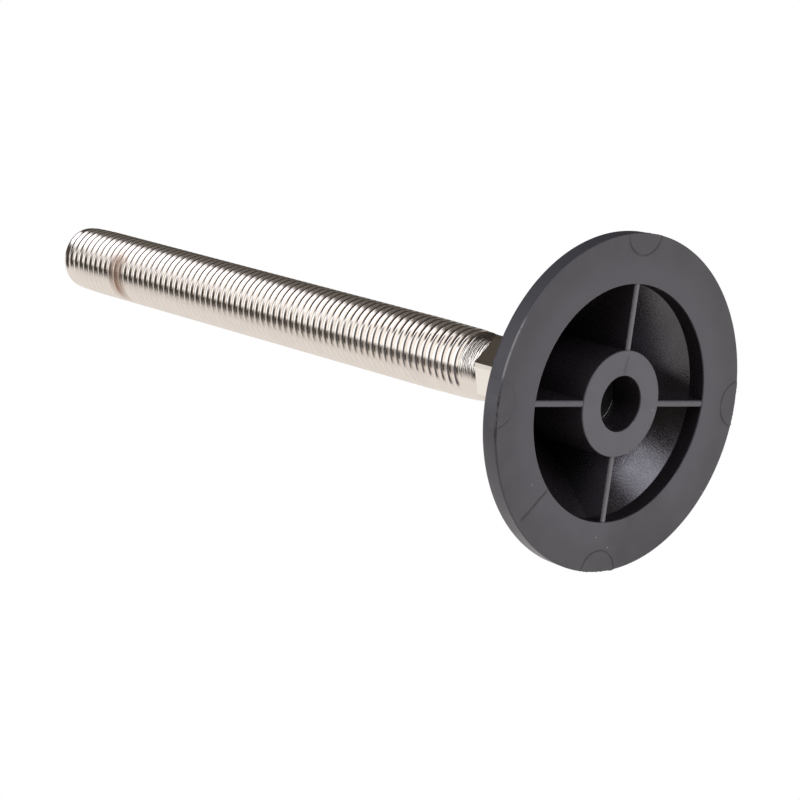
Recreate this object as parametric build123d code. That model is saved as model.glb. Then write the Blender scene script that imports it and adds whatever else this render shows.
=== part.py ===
from build123d import *
import os
from math import sqrt

# Adjustable levelling foot, standing upright on its rim: millimetres, +Z up,
# origin at the centre of the face that stands on the floor.

# Ball joint shared by the two pieces
ball_diameter = 16.0
ball_height = 13.3          # centre of the ball above the floor
ball_clearance = 0.15       # gap between the ball and its socket

# Moulded foot
base_diameter = 70.0        # outside of the rim at the floor
rim_height = 4.2
rim_draft = 0.15            # how far the rim's side leans in over its height
ledge_width = 6.0           # flat top of the rim, outside the conical shell
pocket_diameter = 49.2      # mouth of the hollow under the shell
shell_wall = 4.2            # conical wall, measured straight up
hub_wall = 2.85             # between the socket and the outside of the hub
collar_wall = 5.35          # between the socket and the outside of the collar
collar_land = 2.0           # upright part of the collar above the cone
socket_grip = 4.2           # how far the socket closes over the ball's centre
mouth_depth = 3.0           # lead-in above the socket's throat
mouth_flare = 1.6           # how much wider the lead-in is than the throat
bore_diameter = 11.6        # core hole from the floor up to the socket

# Ribs in the hollow
rib_count = 4
rib_width = 1.4             # at the floor side
rib_root_width = 1.9        # at the top of the hollow, wider for mould draft
rib_edge_radius = 0.45
rib_recess = 0.1            # the ribs stop this far above the floor

# Worked corners of the moulding
rim_bevel = 0.6
collar_bevel = 0.6
ledge_fillet = 4.0
shoulder_fillet = 2.0

# Turned stud
end_flat_inset = 0.2        # the ball's flat end is this much smaller than the bore
neck_diameter = 10.0
neck_gap = 2.0              # from the collar's top to the hexagon
hexagon_across_flats = 14.0
hexagon_height = 13.0
hexagon_clock = 42.6        # turn of the hexagon about the stud, in degrees
hexagon_chamfer = 1.2       # bevel under the hexagon's corners
thread_diameter = 16.0
thread_end_height = 148.0   # from the hexagon to the free end
shank_diameter = 14.7       # plain bar left between the thread and the hexagon
shank_length = 3.05
shank_taper = 1.2           # over this height the shank narrows to the hexagon's flats
tip_chamfer = 1.3

# Radii and heights that follow from the sizes above
ball_r = ball_diameter / 2
socket_r = ball_r + ball_clearance
bore_r = bore_diameter / 2
base_r = base_diameter / 2
pocket_r = pocket_diameter / 2
hub_r = socket_r + hub_wall
collar_r = socket_r + collar_wall
rim_top_r = base_r - rim_draft
ledge_r = rim_top_r - ledge_width
throat_z = ball_height + socket_grip
throat_r = sqrt(socket_r**2 - socket_grip**2)
collar_z = throat_z + mouth_depth
shoulder_z = collar_z - collar_land
socket_floor_z = ball_height - sqrt(socket_r**2 - bore_r**2)
neck_r = neck_diameter / 2
flat_r = bore_r - end_flat_inset
hexagon_z = collar_z + neck_gap
hexagon_top_z = hexagon_z + hexagon_height
shank_r = shank_diameter / 2
thread_r = thread_diameter / 2
shank_end_z = hexagon_top_z + shank_length
thread_start_z = shank_end_z + thread_r - shank_r
tip_z = hexagon_top_z + thread_end_height


def ceiling(radius):
    """Height of the hollow's sloped ceiling at a radius: the cone's height less the wall."""
    slope = (shoulder_z - rim_height) / (ledge_r - collar_r)
    return rim_height + (ledge_r - radius) * slope - shell_wall


def turned(outline):
    """Solid made by turning a closed outline of (radius, height) once round the Z axis."""
    return revolve(Plane.XZ * outline, axis=Axis.Z)


def worked(outline, operation, corners):
    """Outline with the corner nearest each (radius, height) place filleted or bevelled."""
    for place, size in corners:
        corner = outline.vertices().sort_by_distance(Vector(*place))[0]
        outline = operation(corner, size)
    return outline


def moulded_shell():
    """Rim, conical shell, collar and hub as one turned section, with the ball socket inside."""
    throat = (throat_r, throat_z)
    socket_edge = (bore_r, socket_floor_z)
    ledge = (ledge_r, rim_height)
    shoulder = (collar_r, shoulder_z)
    rim_edge = (rim_top_r, rim_height)
    collar_edge = (collar_r, collar_z)
    walls = Polyline(
        socket_edge,
        (bore_r, 0),
        (hub_r, 0),
        (hub_r, ceiling(hub_r)),
        (pocket_r, ceiling(pocket_r)),
        (pocket_r, 0),
        (base_r, 0),
        rim_edge,
        ledge,
        shoulder,
        collar_edge,
        (throat_r + mouth_flare, collar_z),
        throat,
    )
    socket = ThreePointArc(throat, (socket_r, ball_height), socket_edge)
    section = make_face(walls + socket)
    section = worked(section, fillet, [(ledge, ledge_fillet), (shoulder, shoulder_fillet)])
    section = worked(section, chamfer, [(rim_edge, rim_bevel), (collar_edge, collar_bevel)])
    return turned(section)


def ribs():
    """Tapered ribs from hub to rim, rounded along the floor side, that run up into the shell."""
    bury = shell_wall / 2
    inner_r = hub_r - hub_wall / 2
    outer_r = pocket_r + bury
    hollow = turned(
        make_face(
            Polyline(
                (inner_r, 0),
                (outer_r, 0),
                (outer_r, ceiling(pocket_r)),
                (pocket_r, ceiling(pocket_r) + bury),
                (hub_r, ceiling(hub_r) + bury),
                (inner_r, ceiling(hub_r) + bury),
                close=True,
            )
        )
    )
    root_z = ceiling(hub_r) + shell_wall
    section = make_face(
        Polyline(
            (-rib_width / 2, rib_recess),
            (rib_width / 2, rib_recess),
            (rib_root_width / 2, root_z),
            (-rib_root_width / 2, root_z),
            close=True,
        )
    )
    section = fillet(section.vertices().group_by(Axis.Y)[0], rib_edge_radius)
    rib = extrude(Plane.YZ * section, amount=base_r) & hollow
    return [Rot(0, 0, 360 * k / rib_count) * rib for k in range(rib_count)]


def ball_and_neck():
    """Ball with its parted-off flat end below, and the neck up to the hexagon."""
    flat_z = ball_height - sqrt(ball_r**2 - flat_r**2)
    neck_z = ball_height + sqrt(ball_r**2 - neck_r**2)
    sides = Polyline(
        (neck_r, neck_z),
        (neck_r, hexagon_z),
        (0, hexagon_z),
        (0, flat_z),
        (flat_r, flat_z),
    )
    ball = ThreePointArc((flat_r, flat_z), (ball_r, ball_height), (neck_r, neck_z))
    return turned(make_face(sides + ball))


def hexagon():
    """Spanner hexagon, bevelled under its corners by a turning cut."""
    flats = RegularPolygon(hexagon_across_flats / 2, 6, major_radius=False, rotation=hexagon_clock)
    prism = Pos(0, 0, hexagon_z) * extrude(flats, amount=hexagon_height)
    corner_r = hexagon_across_flats / sqrt(3)
    bevel = turned(
        make_face(
            Polyline(
                (0, hexagon_z),
                (corner_r - hexagon_chamfer, hexagon_z),
                (corner_r, hexagon_z + hexagon_chamfer),
                (corner_r, hexagon_top_z),
                (0, hexagon_top_z),
                close=True,
            )
        )
    )
    return prism & bevel


def threaded_bar():
    """Tapered run-out above the hexagon, then the bar at the thread's outside, bevelled at its tip."""
    return turned(
        make_face(
            Polyline(
                (0, hexagon_top_z),
                (hexagon_across_flats / 2, hexagon_top_z),
                (shank_r, hexagon_top_z + shank_taper),
                (shank_r, shank_end_z),
                (thread_r, thread_start_z),
                (thread_r, tip_z - tip_chamfer),
                (thread_r - tip_chamfer, tip_z),
                (0, tip_z),
                close=True,
            )
        )
    )


foot = moulded_shell() + ribs()
stud = ball_and_neck() + hexagon() + threaded_bar()

os.makedirs("parts", exist_ok=True)
export_step(foot, "parts/foot.step")
export_step(stud, "parts/stud.step")
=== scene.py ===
import math

import bmesh
import bpy
import numpy as np
from mathutils import Matrix, Vector


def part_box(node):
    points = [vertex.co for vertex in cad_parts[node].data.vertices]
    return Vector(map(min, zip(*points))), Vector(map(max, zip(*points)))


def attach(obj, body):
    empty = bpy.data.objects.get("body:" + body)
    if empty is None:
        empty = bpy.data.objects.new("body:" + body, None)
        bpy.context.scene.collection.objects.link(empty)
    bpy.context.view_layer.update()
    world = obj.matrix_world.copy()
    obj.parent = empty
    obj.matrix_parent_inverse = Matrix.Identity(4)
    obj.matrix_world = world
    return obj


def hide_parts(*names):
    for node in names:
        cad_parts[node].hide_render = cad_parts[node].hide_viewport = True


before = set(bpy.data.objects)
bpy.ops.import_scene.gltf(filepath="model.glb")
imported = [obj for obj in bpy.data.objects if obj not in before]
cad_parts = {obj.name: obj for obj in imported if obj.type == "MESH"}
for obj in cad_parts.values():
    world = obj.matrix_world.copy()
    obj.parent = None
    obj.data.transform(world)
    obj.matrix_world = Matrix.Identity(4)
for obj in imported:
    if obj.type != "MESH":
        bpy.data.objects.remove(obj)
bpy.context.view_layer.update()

# Moulded foot: the round base that stands on the floor. One piece of charcoal plastic, injection
# moulded hollow, with a hub round the ball socket and four ribs between the hub and the rim.
# Sizes are in millimetres, in the frame of the part.
mm = 0.001
foot_low, foot_high = (np.array(corner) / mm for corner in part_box("foot"))
base_r = (foot_high[0] - foot_low[0]) / 2
collar_z = foot_high[2]
rim_height = 4.2
rim_top_r = base_r - 0.15
ledge_r = rim_top_r - 6.0
pocket_r = 24.6
pocket_depth = 3.96
ceiling_slope = 1.0
hub_r = 11.0
bore_r = 5.8
collar_r = 13.5
shoulder_z = collar_z - 2.0
ball_z = 13.3
socket_r = 8.15
socket_rows = 24
throat_z = collar_z - 3.0
mouth_r = 8.585
bore_edge_r = 0.15
hub_edge_r = 0.18
pocket_root_r = 0.3
pocket_edge_r = 0.15
floor_edge_r = 0.2
rim_edge_r = 0.7
ledge_fillet_r = 4.0
shoulder_fillet_r = 2.0
collar_edge_r = 0.6
mouth_edge_r = 0.3
socket_edge_r = 0.1
rib_half_width = 0.7
rib_half_root = 0.95
rib_edge_r = 0.45
rib_recess = 0.1
rib_bury = 0.8
rib_overlap = 0.6
rib_rows = 25
mark_r = 4.95
mark_centre_r = 35.4
flash_seed = 11
flash_wave_counts = (5, 9, 16, 31, 57)
flash_wave = 0.06
flash_tooth = 0.26
flash_height = 0.17
flash_inset = 0.25
weld_clock = math.radians(-134.4)
dust_places = [(-1.3, 9.7), (-18.8, 28.8), (-21.2, 28.1), (-27.7, -1.6), (-29.9, 2.2), (-16.3, -22.3)]
# Centre of the patch of painted shade on the rim face.
shade_patch_x, shade_patch_y = -28.7, 11.8
foot_columns = 600
foot_sharp_angle = 32
merge_distance = 0.00001
charcoal = (0.039, 0.040, 0.049, 1)
pale_charcoal = (0.047, 0.048, 0.058, 1)
outer_rim_colour = (0.018, 0.0175, 0.0225, 1)
hub_colour = (0.077, 0.078, 0.089, 1)
# Light colour of the two ribs along x: painted highlight.
rib_highlight_colour = (0.125, 0.122, 0.13, 1)
# Colour of the patch of painted shade on the rim face.
painted_shade_colour = (0.01, 0.0095, 0.0108, 1)
hollow_colour = (0.017, 0.014, 0.016, 1)
line_colour = (0.002, 0.002, 0.002, 1)
# Light colour of the rim's edge: painted highlight, with some wear.
wear_and_highlight_colour = (0.26, 0.25, 0.25, 1)
dust_colour = (0.42, 0.42, 0.43, 1)
plastic_gloss_tint = (1.0, 0.97, 1.06, 1)
plastic_ior = 1.8


def ceiling(radius):
    """Height of the hollow's conical ceiling at a radius, from its corner at the pocket's wall."""
    return pocket_depth + (pocket_r - radius) * ceiling_slope


def rounded(corners, closed=True, arc_steps=6, support=0.2):
    """Outline through corners of (across, up, rounding).

    Each corner becomes an arc that touches both of its sides. One more point stands on each long side
    a little way from the arc, so that a flat side is shaded flat up to there.
    """
    corners = np.array(corners, float)
    places, roundings = corners[:, :2], corners[:, 2]
    outline = []
    for k, (corner, rounding) in enumerate(zip(places, roundings)):
        at_end = not closed and k in (0, len(places) - 1)
        if at_end or rounding == 0:
            outline.append(corner[None])
            continue
        back = places[k - 1] - corner
        onward = places[(k + 1) % len(places)] - corner
        back_length, onward_length = np.linalg.norm(back), np.linalg.norm(onward)
        back, onward = back / back_length, onward / onward_length
        half = math.acos(np.clip(back @ onward, -1, 1)) / 2
        reach = rounding / math.tan(half)
        centre = corner + (back + onward) / np.linalg.norm(back + onward) * rounding / math.sin(half)
        first, last = corner + back * reach - centre, corner + onward * reach - centre
        swing = math.pi - 2 * half
        share = np.linspace(0, 1, arc_steps + 1)[:, None]
        spokes = first * np.sin((1 - share) * swing) + last * np.sin(share * swing)
        hold = reach + support
        long_side = 4 * hold
        if back_length > long_side:
            outline.append((corner + back * hold)[None])
        outline.append(centre + spokes / math.sin(swing))
        if onward_length > long_side:
            outline.append((corner + onward * hold)[None])
    return np.concatenate(outline)


def turned(outline, turn):
    """Surface of an outline turned round Z: point (k, j) is outline point k at the angle turn[j]."""
    across, up = outline[:, :1], outline[:, 1:]
    return np.stack([across * np.cos(turn), across * np.sin(turn), up + 0 * turn], axis=-1)


def grid_quads(rows, columns, close_rows):
    """Corner numbers of a grid's quads. Columns close on themselves, and rows do too if asked."""
    row = np.arange(rows if close_rows else rows - 1)[:, None]
    column = np.arange(columns)[None, :]
    next_row = (row + 1) % rows
    next_column = (column + 1) % columns
    corners = [(row, column), (row, next_column), (next_row, next_column), (next_row, column)]
    return np.stack([r * columns + c for r, c in corners], axis=-1).reshape(-1, 4)


def add_surface(solid, points, quads):
    """Put an array of points in millimetres and its quads into a bmesh."""
    points = points.reshape(-1, 3) * mm
    sheet = bpy.data.meshes.new("surface")
    sheet.vertices.add(len(points))
    sheet.vertices.foreach_set("co", points.ravel())
    sheet.loops.add(quads.size)
    sheet.loops.foreach_set("vertex_index", quads.ravel())
    sheet.polygons.add(len(quads))
    sheet.polygons.foreach_set("loop_start", np.arange(0, quads.size, 4))
    sheet.update(calc_edges=True)
    solid.from_mesh(sheet)
    bpy.data.meshes.remove(sheet)


def closed_piece(name, solid, sharp_angle):
    """Object of a bmesh whose poles are merged, open ends filled and faces turned outwards.

    It is shaded smooth, apart from edges that bend by more than the sharp angle in degrees.
    """
    bmesh.ops.remove_doubles(solid, verts=solid.verts, dist=merge_distance * mm)
    bmesh.ops.holes_fill(solid, edges=[edge for edge in solid.edges if edge.is_boundary], sides=0)
    bmesh.ops.recalc_face_normals(solid, faces=solid.faces)
    mesh = bpy.data.meshes.new(name)
    solid.to_mesh(mesh)
    solid.free()
    mesh.set_sharp_from_angle(angle=math.radians(sharp_angle))
    piece = bpy.data.objects.new(name, mesh)
    bpy.context.scene.collection.objects.link(piece)
    return piece


def shell_outline():
    """Closed outline of the moulding, counter-clockwise: underside, rim, cone, collar, then socket."""
    low_angle = -math.acos(bore_r / socket_r)
    high_angle = math.asin((throat_z - ball_z) / socket_r)
    swing = np.linspace(high_angle, low_angle, socket_rows)[1:-1]
    arc = np.stack([socket_r * np.cos(swing), ball_z + socket_r * np.sin(swing), 0 * swing], axis=-1)
    throat_r = socket_r * math.cos(high_angle)
    socket_floor_z = ball_z + socket_r * math.sin(low_angle)
    return rounded(
        [
            (bore_r, 0, bore_edge_r),
            (hub_r, 0, hub_edge_r),
            (hub_r, ceiling(hub_r), 0),
            (pocket_r, ceiling(pocket_r), pocket_root_r),
            (pocket_r, 0, pocket_edge_r),
            (base_r, 0, floor_edge_r),
            (rim_top_r, rim_height, rim_edge_r),
            (ledge_r, rim_height, ledge_fillet_r),
            (collar_r, shoulder_z, shoulder_fillet_r),
            (collar_r, collar_z, collar_edge_r),
            (mouth_r, collar_z, mouth_edge_r),
            (throat_r, throat_z, 0),
            *arc,
            (bore_r, socket_floor_z, socket_edge_r),
        ]
    )


def with_flash(points, turn):
    """Shell with the thin uneven fin that the mould's inserts leave on the rim's lower edge.

    The edge moves out by a slow wave all round, and by short random teeth across the four inserts.
    """
    draw = np.random.default_rng(flash_seed)
    waves = sum(np.sin(n * turn + draw.uniform(0, 2 * np.pi)) / n for n in flash_wave_counts)
    quarter = np.pi / 2
    along = (np.abs((turn + quarter / 2) % quarter - quarter / 2)) * base_r
    teeth = draw.random(len(turn)) ** 3 * (along < mark_r + 0.3)
    push = flash_wave * waves + flash_tooth * teeth
    radius = np.hypot(points[..., 0], points[..., 1])
    near_edge = np.exp(-((points[..., 2] / flash_height) ** 2)) * (radius > base_r - flash_inset)
    points[..., :2] *= (1 + near_edge * push / base_r)[..., None]
    return points


def rib_surface(turn):
    """Rib along a radius: a rounded section that is carried outwards, its top following the ceiling."""
    root = ceiling(hub_r)
    section = rounded(
        [
            (rib_half_root, root, 0),
            (-rib_half_root, root, 0),
            (-rib_half_width, rib_recess, rib_edge_r),
            (rib_half_width, rib_recess, rib_edge_r),
        ]
    )
    run = np.linspace(hub_r - rib_bury, pocket_r + rib_bury, rib_rows)[:, None]
    lift = np.clip((section[:, 1] - rib_recess) / (root - rib_recess), 0, 1)
    top = np.minimum(ceiling(run) + rib_overlap, ceiling(hub_r) + rib_overlap)
    height = rib_recess + np.where(lift > 0.5, top - rib_recess, section[:, 1] - rib_recess)
    side = section[:, 0] + 0 * run
    across = run + 0 * side
    x = across * math.cos(turn) - side * math.sin(turn)
    y = across * math.sin(turn) + side * math.cos(turn)
    return np.stack([x, y, height], axis=-1)


around = 2 * np.pi * np.arange(foot_columns) / foot_columns
moulding = bmesh.new()
shell = with_flash(turned(shell_outline(), around), around)
add_surface(moulding, shell, grid_quads(len(shell), foot_columns, True))
for quarter_turn in range(4):
    rib = rib_surface(quarter_turn * math.pi / 2)
    add_surface(moulding, rib, grid_quads(rib.shape[0], rib.shape[1], False))
foot = closed_piece("moulded_foot", moulding, foot_sharp_angle)


class Wire:
    """Output socket of a shader node. Arithmetic on wires adds Math nodes to their node tree."""

    def __init__(self, tree, socket=None):
        self.tree = tree
        self.socket = socket

    def node(self, kind, settings=None, sockets=None, output=0):
        """Add a node: its settings are set first, then its sockets get their values or links."""
        made = self.tree.nodes.new(kind)
        for name, value in (settings or {}).items():
            setattr(made, name, value)
        for key, value in (sockets or {}).items():
            if isinstance(value, Wire):
                self.tree.links.new(value.socket, made.inputs[key])
            else:
                made.inputs[key].default_value = value
        return Wire(self.tree, made.outputs[output]) if made.outputs else self

    def out(self, name):
        """Another output of the same node."""
        return Wire(self.tree, self.socket.node.outputs[name])

    def math(self, operation, *values):
        """Math node on one, two or three values."""
        return self.node("ShaderNodeMath", {"operation": operation}, dict(enumerate(values)))

    def __add__(self, other):
        return self.math("ADD", self, other)

    def __radd__(self, other):
        return self.math("ADD", other, self)

    def __sub__(self, other):
        return self.math("SUBTRACT", self, other)

    def __rsub__(self, other):
        return self.math("SUBTRACT", other, self)

    def __mul__(self, other):
        return self.math("MULTIPLY", self, other)

    def __rmul__(self, other):
        return self.math("MULTIPLY", other, self)

    def __pow__(self, other):
        return self.math("POWER", self, other)

    def __abs__(self):
        return self.math("ABSOLUTE", self)

    def rise(self, low, high):
        """0 below low, 1 above high, smooth between."""
        ends = {"Value": self, "From Min": low, "From Max": high}
        return self.node("ShaderNodeMapRange", {"interpolation_type": "SMOOTHSTEP"}, ends)

    def near(self, centre, half_width):
        """1 at centre, falling smoothly to 0 at half_width from it."""
        return 1 - abs(self - centre).rise(0, half_width)

    def noise(self, place, scale, detail=2.0, roughness=0.5):
        """Noise texture at a place, with scale in cells per unit."""
        sockets = {"Vector": place, "Scale": scale, "Detail": detail, "Roughness": roughness}
        return self.node("ShaderNodeTexNoise", None, sockets)

    def mix(self, first, second):
        """Colour between two colours, with this wire as the share of the second."""
        return self.node("ShaderNodeMix", {"data_type": "RGBA"}, {0: self, 6: first, 7: second}, 2)


def new_finish(name):
    """Empty material, a wire in its tree, and the place on the piece in millimetres with x, y and z."""
    finish = bpy.data.materials.new(name)
    finish.use_nodes = True
    finish.node_tree.nodes.clear()
    wire = Wire(finish.node_tree)
    metres = wire.node("ShaderNodeTexCoord", None, None, "Object")
    place = wire.node("ShaderNodeVectorMath", {"operation": "SCALE"}, {0: metres, "Scale": 1 / mm})
    x = wire.node("ShaderNodeSeparateXYZ", None, {0: place})
    return finish, wire, place, x, x.out("Y"), x.out("Z")


def plastic_finish():
    """Charcoal plastic: matt outside, glossy black with spark-eroded grain in the hollow.

    On it lie the arcs of the mould's inserts, two weld lines and dust, with painted highlight on two
    ribs, painted highlight and painted shade on the rim's edge besides some wear and chips, and a patch
    of painted shade on the rim.
    """
    finish, wire, place, x, y, z = new_finish("charcoal_plastic")
    radius = (x * x + y * y) ** 0.5
    cloud = wire.noise(place, 0.22, 3.0)
    grain = wire.noise(place, 2.6, 2.0, 0.6)
    speck = wire.noise(place, 3.4, 1.0).rise(0.35, 0.6)
    broken = wire.noise(place, 0.55, 2.0)
    shade = cloud.rise(0.3, 0.7)

    # Regions of the moulding
    above_ceiling = z + radius * ceiling_slope - (pocket_depth + pocket_r * ceiling_slope)
    below_shell = (1 - above_ceiling.rise(1.2, 1.8)) * (1 - z.rise(throat_z + 0.1, throat_z + 0.3))
    hollow = z.rise(0.2, 0.5) * (1 - radius.rise(pocket_r + 0.1, pocket_r + 0.3)) * below_shell
    underside = 1 - z.rise(0.3, 0.6)
    hub_face = (1 - radius.rise(pocket_r - 0.3, pocket_r)) * (1 - hollow) * underside
    # Painted highlight: the two ribs along x get a lighter colour for the light that their rounded edges
    # catch.
    rib_painted_highlight = hub_face * radius.rise(hub_r + 0.1, hub_r + 0.4) * (1 - abs(y).rise(1.0, 1.2))
    outer_wall = radius.rise(base_r - 0.4, base_r - 0.25) * z.rise(0.15, 0.3)

    # Arcs of the inserts on the rim, and weld lines on the rim and the hub
    along_x = ((abs(x) - mark_centre_r) ** 2 + y * y) ** 0.5
    along_y = ((abs(y) - mark_centre_r) ** 2 + x * x) ** 0.5
    ring = abs(along_x.math("MINIMUM", along_x, along_y) - mark_r)
    bold = 0.2 + 0.7 * y.rise(-26.0, -20.0)
    bold = bold + 0.5 * (1 - y.rise(-30.0, -29.0)) * (1 - x.rise(-4.0, -2.0))
    insert_line = (1 - ring.rise(0.1, 0.32)) * bold * (0.6 + 0.4 * broken.rise(0.4, 0.55))
    insert_line = insert_line * (1 - z.rise(3.2, 3.6))
    along = x * math.cos(weld_clock) + y * math.sin(weld_clock)
    aside = y * math.cos(weld_clock) - x * math.sin(weld_clock)
    off_rim_weld = abs(aside + 0.6 * (broken - 0.5))
    rim_weld = (1 - off_rim_weld.rise(0.1, 0.5)) * along.rise(24.5, 25.5) * (1 - along.rise(33.0, 34.5))
    off_hub_weld = abs(y + 0.45 - 0.14 * (x - bore_r))
    hub_weld = (1 - off_hub_weld.rise(0.0, 0.65)) * x.rise(5.5, 6.0) * (1 - x.rise(9.8, 10.4))
    weld = (0.8 * rim_weld + 0.35 * hub_weld) * underside
    line = insert_line.math("MAXIMUM", insert_line, weld)

    # Painted highlight and painted shade on the rim's edge with some wear and chips, a patch of painted
    # shade, and dust
    edge = radius.near(base_r - 0.08, 0.3) * (1 - z.rise(0.15, 0.5)) * (1 - y.rise(-26.0, -22.0))
    # Painted highlight: a light broken line on the rim's outer edge between x 4 and 18, standing for the
    # rounded edge's highlight with some wear.
    edge_wear_and_highlight = edge * broken.rise(0.25, 0.5) * x.rise(4.0, 6.0) * (1 - x.rise(15.0, 18.0))
    # Painted shade: near-black broken dashes on the rim's edge at low x, with small chips cut into the
    # relief.
    edge_chips_and_shade = edge * (1 - x.rise(2.0, 4.0)) * (0.25 + 0.75 * x.rise(-8.0, -6.0)) * broken.rise(0.35, 0.5)
    # Painted shade: a darker, slightly rougher patch on the rim face round x -29, y 12.
    rim_painted_shade = underside * (1 - ((x - shade_patch_x) ** 2 + (y - shade_patch_y) ** 2).rise(10.0, 160.0))
    dust = 0
    for dust_x, dust_y in dust_places:
        away_from = ((x - dust_x) ** 2 + (y - dust_y) ** 2) ** 0.5
        dust = dust + (1 - away_from.rise(0.05, 0.2)) * (1 - z.rise(0.4, 0.6))

    # Colour, relief and gloss
    matt = shade.mix(charcoal, pale_charcoal)
    matt = (0.8 * radius.rise(26.0, 33.5)).mix(matt, outer_rim_colour)
    matt = hub_face.mix(matt, hub_colour)
    matt = rib_painted_highlight.mix(matt, rib_highlight_colour)
    matt = (0.75 * rim_painted_shade).mix(matt, painted_shade_colour)
    colour = hollow.mix(matt, hollow_colour)
    colour = line.math("MAXIMUM", 0.9 * line, edge_chips_and_shade).mix(colour, line_colour)
    colour = (0.85 * edge_wear_and_highlight).mix(colour, wear_and_highlight_colour)
    colour = dust.math("MINIMUM", dust, 0.7).mix(colour, dust_colour)
    height = grain * (0.006 + 0.025 * hollow) - line * 0.05 - edge_chips_and_shade * 0.1
    bump = wire.node("ShaderNodeBump", None, {"Height": height, "Distance": mm, "Strength": 1.0})
    matt_rough = 0.42 + 0.08 * shade + 0.02 * rim_painted_shade
    wall_rough = (0.22 * x.rise(-2.0, 7.0) - 0.1) * outer_wall
    surface = {
        "Base Color": colour,
        "Roughness": matt_rough - (0.28 - 0.12 * speck) * hollow + wall_rough + 0.2 * line,
        "IOR": plastic_ior,
        "Specular Tint": plastic_gloss_tint,
        "Normal": bump,
    }
    shading = wire.node("ShaderNodeBsdfPrincipled", None, surface)
    wire.node("ShaderNodeOutputMaterial", None, {"Surface": shading})
    return finish


foot.data.materials.append(plastic_finish())
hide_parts("foot")
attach(foot, "base")

# Threaded stud: a turned steel bar with a rolled M16 coarse thread, a milled spanner hexagon, and a
# neck and ball that sit in the foot's socket. Bright nickel plating, with a brown stain near the tip.
tip_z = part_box("stud")[1][2] / mm
ball_r = 8.0
ball_rows = 40
flat_r = 5.6
neck_r = 5.0
hexagon_z = collar_z + 2.0
hexagon_top_z = hexagon_z + 13.0
hexagon_flat_r = 7.0
hexagon_corner_r = hexagon_flat_r / math.cos(math.pi / 6)
hexagon_chamfer = 1.2
hexagon_clock = math.radians(42.6)
hexagon_columns = 96
bevel_rows = 13
thread_r = 7.7
thread_depth = 0.87
thread_pitch = 2.0
thread_clock = math.radians(126)
turn_columns = 64
crest_rounding = 0.08
root_rounding = 0.18
groove_start_z = hexagon_top_z + 3.7
groove_full_z = hexagon_top_z + 6.0
crest_width = 0.78
crest_heights = [groove_full_z, 105.0, tip_z]
crest_widths = [crest_width, 0.56, 0.48]
run_out_heights = hexagon_top_z + np.array([0, 1.2, 4.5, 8, 20])
run_out_radii = [6.55, 7.0, 7.35, 7.55, thread_r]
lead_depths = [-0.5, 0, 0.5, 1.5, 3.5, 9.5]
lead_radii = [6.1, 6.6, 7.2, 7.42, 7.57, thread_r]
cut_snap = 0.01
cut_tolerance = 0.0001
stud_sharp_angle = 33
# Clock of the painted glint on the edge of the ball's flat end.
glint_clock = 2.1
score_clock = -1.66
stain_z = 161.5
stain_clock = -1.75
nickel = (0.87, 0.81, 0.755, 1)
dull_nickel = (0.83, 0.775, 0.725, 1)
hexagon_nickel = (0.95, 0.915, 0.86, 1)
# Darker colour of the thread's crests: painted shade lines along the thread.
crest_shade_nickel = (0.70, 0.65, 0.61, 1)
# Near-black colour of the ball's end: painted shade.
ball_end_shade_colour = (0.02, 0.02, 0.02, 1)
# Light colour of the ball's end edge: painted highlight.
glint_colour = (0.6, 0.59, 0.56, 1)
score_colour = (0.06, 0.05, 0.04, 1)
stain_colour = (0.38, 0.21, 0.12, 1)


def hexagon_reach(turn):
    """Distance from axis to hexagon side: the flat's distance over the cosine off its middle."""
    sixth = math.pi / 3
    off_middle = (turn - hexagon_clock) % sixth - sixth / 2
    return hexagon_flat_r / np.cos(off_middle)


def ball_to_hexagon():
    """Ball, neck and hexagon in rows: each is the lesser of a turned radius and the hexagon's reach."""
    turn = hexagon_clock + 2 * np.pi * np.arange(hexagon_columns) / hexagon_columns
    low_angle = -math.acos(flat_r / ball_r)
    high_angle = math.acos(neck_r / ball_r)
    swing = np.linspace(low_angle, high_angle, ball_rows)
    ball = np.stack([ball_r * np.cos(swing), ball_z + ball_r * np.sin(swing)], axis=-1)
    bevel_r = hexagon_corner_r - hexagon_chamfer
    rise = np.linspace(0, hexagon_chamfer, bevel_rows)
    bevel = np.stack([bevel_r + rise, hexagon_z + rise], axis=-1)
    flat_end = [(0, ball[0, 1]), (flat_r - 0.3, ball[0, 1])]
    neck = [(neck_r, ball[-1, 1] + 0.2), (neck_r, hexagon_z - 0.1), (neck_r, hexagon_z)]
    top = [(hexagon_corner_r, hexagon_top_z), (0, hexagon_top_z)]
    outline = np.concatenate([flat_end, ball, neck, [(neck_r + 0.3, hexagon_z)], bevel, top])
    across = np.minimum(outline[:, :1], hexagon_reach(turn))
    up = outline[:, 1:] + 0 * turn
    return np.stack([across * np.cos(turn), across * np.sin(turn), up], axis=-1)


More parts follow.
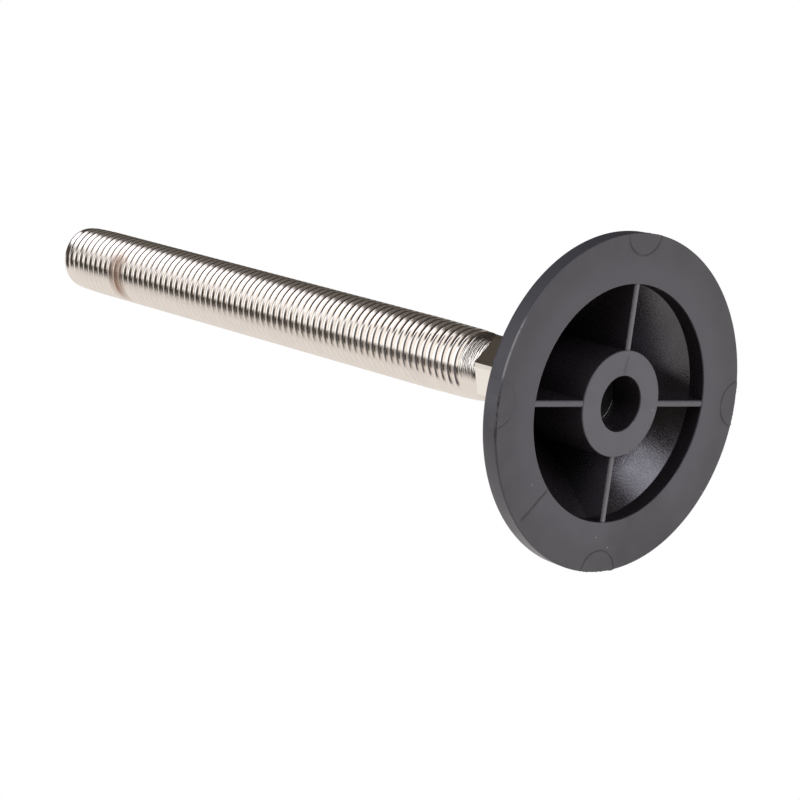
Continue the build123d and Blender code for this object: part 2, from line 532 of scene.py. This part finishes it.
def thread_strip():
    """Thread as one strip that climbs a pitch with every turn.

    Its section runs over one pitch from crest to crest with 60 degree flanks, and its crests grow
    narrower towards the tip. Below, the groove grows shallow and the crest sinks to the plain shank,
    which narrows to the hexagon's flats. Above, a cone limits the radius at the tip. Points next to
    the plane of an end are moved onto it, so that the cut there is clean.
    """
    flank = thread_depth * math.tan(math.pi / 6)
    groove_low = crest_width / 2 + flank
    groove_r = thread_r - thread_depth
    section = rounded(
        [
            (0, thread_r, 0),
            (crest_width / 2, thread_r, crest_rounding),
            (groove_low, groove_r, root_rounding),
            (thread_pitch - groove_low, groove_r, root_rounding),
            (thread_pitch - crest_width / 2, thread_r, crest_rounding),
            (thread_pitch, thread_r, 0),
        ],
        closed=False,
        arc_steps=2,
        support=0.05,
    )[:-1]
    first_z = hexagon_top_z - 2 * thread_pitch
    turns = math.ceil((tip_z - first_z) / thread_pitch) + 2
    step = np.arange(turns * turn_columns + 1)[:, None]
    angle = thread_clock + 2 * np.pi * step / turn_columns
    up = first_z + thread_pitch * step / turn_columns + section[:, 0]
    half = np.sign(thread_pitch / 2 - section[:, 0]) * (section[:, 0] > 0)
    width = np.interp(up, crest_heights, crest_widths)
    up = up - half * (crest_width - width) / 2
    for cut_z in (hexagon_top_z, tip_z):
        up = np.where(np.abs(up - cut_z) < cut_snap, cut_z, up)
    starting = np.clip((up - groove_start_z) / (groove_full_z - groove_start_z), 0, 1)
    crest = np.interp(up, run_out_heights, run_out_radii)
    across = crest - (thread_r - section[:, 1]) * starting * starting * (3 - 2 * starting)
    across = np.minimum(across, np.interp(tip_z - up, lead_depths, lead_radii))
    return np.stack([across * np.cos(angle), across * np.sin(angle), up], axis=-1)


def strip_quads(strip):
    """Quads of the strip: the last point of a section meets the first point one turn further on."""
    steps, size = strip.shape[:2]
    row = np.arange(steps - turn_columns - 1)[:, None]
    point = np.arange(size)[None, :]
    last = point == size - 1
    above = np.where(last, (row + turn_columns) * size, row * size + point + 1)
    beside = np.where(last, (row + 1 + turn_columns) * size, (row + 1) * size + point + 1)
    corners = [row * size + point, (row + 1) * size + point, beside, above]
    return np.stack(corners, axis=-1).reshape(-1, 4)


bar = bmesh.new()
strip = thread_strip()
add_surface(bar, strip, strip_quads(strip))
for height, side in ((hexagon_top_z, -1), (tip_z, 1)):
    everything = bar.verts[:] + bar.edges[:] + bar.faces[:]
    plane = {"plane_co": (0, 0, height * mm), "plane_no": (0, 0, side), "dist": cut_tolerance * mm}
    bmesh.ops.bisect_plane(bar, geom=everything, clear_outer=True, **plane)
lower_end = ball_to_hexagon()
add_surface(bar, lower_end, grid_quads(len(lower_end), hexagon_columns, False))
stud = closed_piece("threaded_stud", bar, stud_sharp_angle)


def nickel_finish():
    """Bright nickel on rolled steel: fine draw lines, scored run-out by the hexagon, stain by the tip."""
    finish, wire, place, x, y, z = new_finish("bright_nickel")
    turn = y.math("ARCTAN2", y, x)
    radius = (x * x + y * y) ** 0.5
    cloud = wire.noise(place, 0.25, 2.0)
    wound = wire.node("ShaderNodeCombineXYZ", None, {0: turn * 1.2, 1: z * 5.0, 2: radius * 5.0})
    drawn = wire.noise(wound, 1.0, 3.0, 0.6)

    # Regions of the stud
    on_hexagon = 1 - z.rise(hexagon_top_z - 0.1, hexagon_top_z)
    on_crest = radius.rise(thread_r - 0.12, thread_r - 0.02)
    # Painted shade: the ball's flat end and lower cap, deep in the socket, are near black, dull and not
    # metallic.
    shaded_ball_end = 1 - z.rise(ball_z - 5.0, ball_z - 4.6)
    # Painted highlight: a light ring on the edge of the ball's flat end, only on the side where a glint
    # shows.
    ball_edge_glint = shaded_ball_end * radius.rise(flat_r - 0.25, flat_r - 0.15)
    ball_edge_glint = ball_edge_glint * (1 - abs(turn - glint_clock).rise(0.3, 0.45))
    run_out = 1 - z.rise(groove_start_z + 0.3, groove_full_z)
    run_out = run_out * z.rise(hexagon_top_z, hexagon_top_z + 0.3)

    # Scores on the run-out, and the stain
    scratched = wire.node("ShaderNodeCombineXYZ", None, {0: turn * 3.0, 1: z * 3.5})
    torn = wire.noise(scratched, 1.0, 4.0, 0.7)
    swirl = wire.node("ShaderNodeCombineXYZ", None, {0: turn * 1.6, 1: z * 0.9})
    ripple = torn.math("SINE", z * 15.0 + wire.noise(swirl, 1.0, 2.0) * 14.0)
    upper_side = turn.rise(-1.75, -1.5)
    scored = upper_side * ripple.rise(0.2, 0.5) * torn.rise(0.4, 0.48)
    scored = scored + turn.near(score_clock, 0.16) * ripple.rise(-0.3, 0.0)
    streak = wire.noise(wound, 0.5, 2.0).rise(0.3, 0.6)
    stain = z.near(stain_z, 4.0) * (0.35 + 0.65 * streak)
    stain = stain * (1 - abs(turn - stain_clock).rise(0.35, 1.2))

    # Colour, relief and gloss
    metal = cloud.rise(0.3, 0.7).mix(nickel, dull_nickel)
    metal = on_hexagon.mix(metal, hexagon_nickel)
    # Painted shade: crests are darker, drawing faint dark lines along the thread.
    metal = (0.45 * on_crest).mix(metal, crest_shade_nickel)
    metal = shaded_ball_end.mix(metal, ball_end_shade_colour)
    metal = ball_edge_glint.mix(metal, glint_colour)
    metal = (0.95 * run_out * scored).mix(metal, score_colour)
    colour = (stain * 0.85).mix(metal, stain_colour)
    height = drawn * 0.002 + (torn * 0.05 + ripple * 0.02 * upper_side) * run_out
    bump = wire.node("ShaderNodeBump", None, {"Height": height, "Distance": mm, "Strength": 1.0})
    surface = {
        "Base Color": colour,
        "Metallic": 1 - shaded_ball_end.math("MAXIMUM", shaded_ball_end, 0.4 * stain),
        "Roughness": 0.12 + 0.05 * cloud + 0.2 * stain + 0.4 * shaded_ball_end,
        "Normal": bump,
    }
    shading = wire.node("ShaderNodeBsdfPrincipled", None, surface)
    wire.node("ShaderNodeOutputMaterial", None, {"Surface": shading})
    return finish


stud.data.materials.append(nickel_finish())
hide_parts("stud")
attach(stud, "spindle")

# Floor: a pale matt sheet under the rim. It shows only from above, so that the underside of the foot
# can be seen and lit from below it.
floor_half = 2.0
floor_gap = 0.1
floor_colour = (0.82, 0.82, 0.83, 1)
floor_sheet = bpy.data.meshes.new("floor")
floor_corners = [(-1, -1), (1, -1), (1, 1), (-1, 1)]
floor_points = [(a * floor_half, b * floor_half, -floor_gap * mm) for a, b in floor_corners]
floor_sheet.from_pydata(floor_points, [], [(0, 1, 2, 3)])
floor = bpy.data.objects.new("floor", floor_sheet)
bpy.context.scene.collection.objects.link(floor)
pale = bpy.data.materials.new("pale_floor")
pale.use_nodes = True
pale.node_tree.nodes.clear()
floor_wire = Wire(pale.node_tree)
from_below = floor_wire.node("ShaderNodeNewGeometry", None, None, "Backfacing")
matt = floor_wire.node("ShaderNodeBsdfDiffuse", None, {"Color": floor_colour})
clear = floor_wire.node("ShaderNodeBsdfTransparent")
one_sided = floor_wire.node("ShaderNodeMixShader", None, {0: from_below, 1: matt, 2: clear})
floor_wire.node("ShaderNodeOutputMaterial", None, {"Surface": one_sided})
floor_sheet.materials.append(pale)
floor.visible_diffuse = False
floor.visible_glossy = False
floor.visible_transmission = False
floor.visible_shadow = False

# Camera: looks up at the underside from the side, with the stud running away to the upper left.
camera_place = Vector((81.457, -438.679, -401.003)) * mm
camera_right = Vector((0.13373, 0.73472, -0.66506))
camera_up = Vector((0.98038, 0.0, 0.19713))
camera_back = camera_right.cross(camera_up)
camera_data = bpy.data.cameras.new("camera")
camera_data.sensor_width = 36.0
camera_data.lens = 133.08
camera_data.clip_start = 0.01
camera = bpy.data.objects.new("camera", camera_data)
axes = Matrix((camera_right, camera_up, camera_back)).transposed().to_4x4()
camera.matrix_world = Matrix.Translation(camera_place) @ axes
bpy.context.scene.collection.objects.link(camera)
bpy.context.scene.camera = camera

# Studio light: bright ground below, a wide panel overhead with a lamp in it and a gap round the camera,
# a light low on the right, a weak one at the far left and a faint glow high on the right. Between them
# it is dim. Directions are shares along the ground's own right, away and up. The camera sees plain white.
ground_up = (0.9411, -0.3051, -0.1479)
ground_right = (0.1337, 0.7347, -0.6651)
ground_away = (0.3116, 0.6061, 0.7323)
panel_edge = (0.677, 0.548, -0.493)
lamp_centre = (0.417, -0.40, 0.816)
toward_camera = (-0.075, -0.89, 0.449)
lamp_outer, lamp_inner = math.radians(20), math.radians(5)
gap_outer, gap_inner = math.radians(34), math.radians(20)
ground_strength = 0.83
panel_strength = 1.35
lamp_strength = 1.65
far_left_strength = 0.35
glow_strength = 0.09
dim_strength = 0.045
panel_left_tint = (1, 1.03, 1.06, 1)
panel_right_tint = (0.98, 0.98, 1.05, 1)
ground_tint = (1, 0.97, 0.945, 1)
dim_tint = (1, 0.84, 0.7, 1)
world = bpy.data.worlds.new("studio")
world.use_nodes = True
world.node_tree.nodes.clear()
sky = Wire(world.node_tree)
toward = sky.node("ShaderNodeTexCoord", None, None, "Generated")


def toward_share(axis):
    """How far a direction points along an axis, from -1 to 1."""
    return sky.node("ShaderNodeVectorMath", {"operation": "DOT_PRODUCT"}, {0: toward, 1: axis}, "Value")


up, right, away = toward_share(ground_up), toward_share(ground_right), toward_share(ground_away)
in_front = right.near(0.05, 0.3) * (1 - away.rise(-0.7, -0.3))
to_left = 1 - right.rise(-0.8, -0.5)
ahead = (1 - right.rise(0.27, 0.38)) * (1 - away.rise(-0.85, -0.7))
behind_left = to_left * away.rise(0.05, 0.2)
lift = 0.3 * ahead + 0.2 * behind_left - 0.2 * in_front - 0.06 * to_left
above_ground = (up - lift).rise(-0.36, -0.2)
ground = (1 - above_ground) * (ground_strength + 0.3 * right.rise(0.5, 0.95))
past_edge = right * panel_edge[0] + away * panel_edge[1] + up * panel_edge[2]
panel = (up - 0.17 * right + 0.2 * away).rise(0.07, 0.22) * (1 - past_edge.rise(0.04, 0.14))
panel = panel * (1 - (away + 0.375 * right.rise(0.0, 0.6)).rise(0.3, 0.37))
at_camera = right * toward_camera[0] + away * toward_camera[1] + up * toward_camera[2]
panel = panel * (1 - at_camera.rise(math.cos(gap_outer), math.cos(gap_inner)))
at_lamp = right * lamp_centre[0] + away * lamp_centre[1] + up * lamp_centre[2]
lamp = at_lamp.rise(math.cos(lamp_outer), math.cos(lamp_inner))
side_light = above_ground * (1 - up.rise(0.15, 0.45)) * right.rise(0.8, 0.95)
far_left = (1 - right.rise(-0.97, -0.85)) * above_ground * (1 - panel)
glow = right.rise(0.68, 0.78) * up.rise(0.4, 0.5)
light = ground + panel_strength * panel + lamp_strength * lamp + side_light
light = light + far_left_strength * far_left + glow_strength * glow
dim = dim_strength + 0.02 * up.rise(0.1, 0.4)
panel_tint = right.rise(-0.3, 0.1).mix(panel_left_tint, panel_right_tint)
tint = panel.mix(ground_tint, panel_tint)
seen = sky.node("ShaderNodeLightPath", None, None, "Is Camera Ray")
lit = sky.node("ShaderNodeBackground", None, {"Color": tint, "Strength": light})
unlit = sky.node("ShaderNodeBackground", None, {"Color": dim_tint, "Strength": dim})
room = sky.node("ShaderNodeAddShader", None, {0: lit, 1: unlit})
white = sky.node("ShaderNodeBackground", None, {"Color": (1, 1, 1, 1), "Strength": 1.0})
both = sky.node("ShaderNodeMixShader", None, {0: seen, 1: room, 2: white})
sky.node("ShaderNodeOutputWorld", None, {"Surface": both})
bpy.context.scene.world = world
bpy.context.scene.view_settings.view_transform = "Standard"
